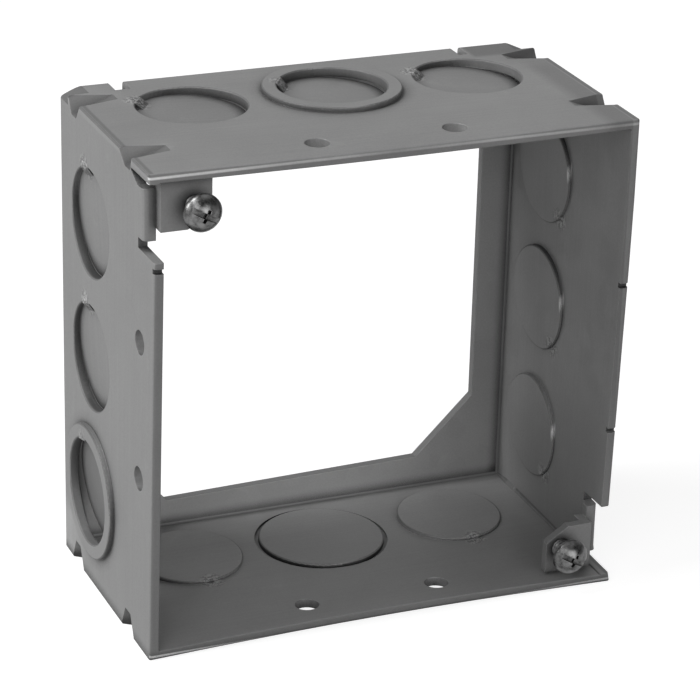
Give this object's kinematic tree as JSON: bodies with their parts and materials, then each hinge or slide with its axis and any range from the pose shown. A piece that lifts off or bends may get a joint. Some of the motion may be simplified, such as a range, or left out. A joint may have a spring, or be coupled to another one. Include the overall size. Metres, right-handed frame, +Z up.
{
  "type": "square box extension ring",
  "caption": "Square folded steel extension ring, open through the middle, with round knockouts in its sides, a flange along the back edge and cover screws in corner ears; deepens a wall box.",
  "frame": {"origin": "middle of the ring from side to side and from screw heads to back, at the underside of the bottom panel", "axes": "+Z up, +Y from the open front to the back flange, +X to the right seen from the front"},
  "size_m": [0.1028, 0.0578, 0.1027],
  "materials": {
    "sheet": "dull galvanised sheet",
    "screw": "zinc plated"
  },
  "bodies": {
    "ring": {"ring_body": "sheet"},
    "upper_screw": {"cover_screw_upper": "screw"},
    "lower_screw": {"cover_screw_lower": "screw"}
  },
  "joints": [
    {"name": "upper_screw_travel", "type": "slide", "parent": "ring", "child": "upper_screw", "axis": [0, 1, 0], "range_m": [-0.0029, 0.0038]},
    {"name": "lower_screw_travel", "type": "slide", "parent": "ring", "child": "lower_screw", "axis": [0, 1, 0], "range_m": [-0.0029, 0.0038]}
  ]
}
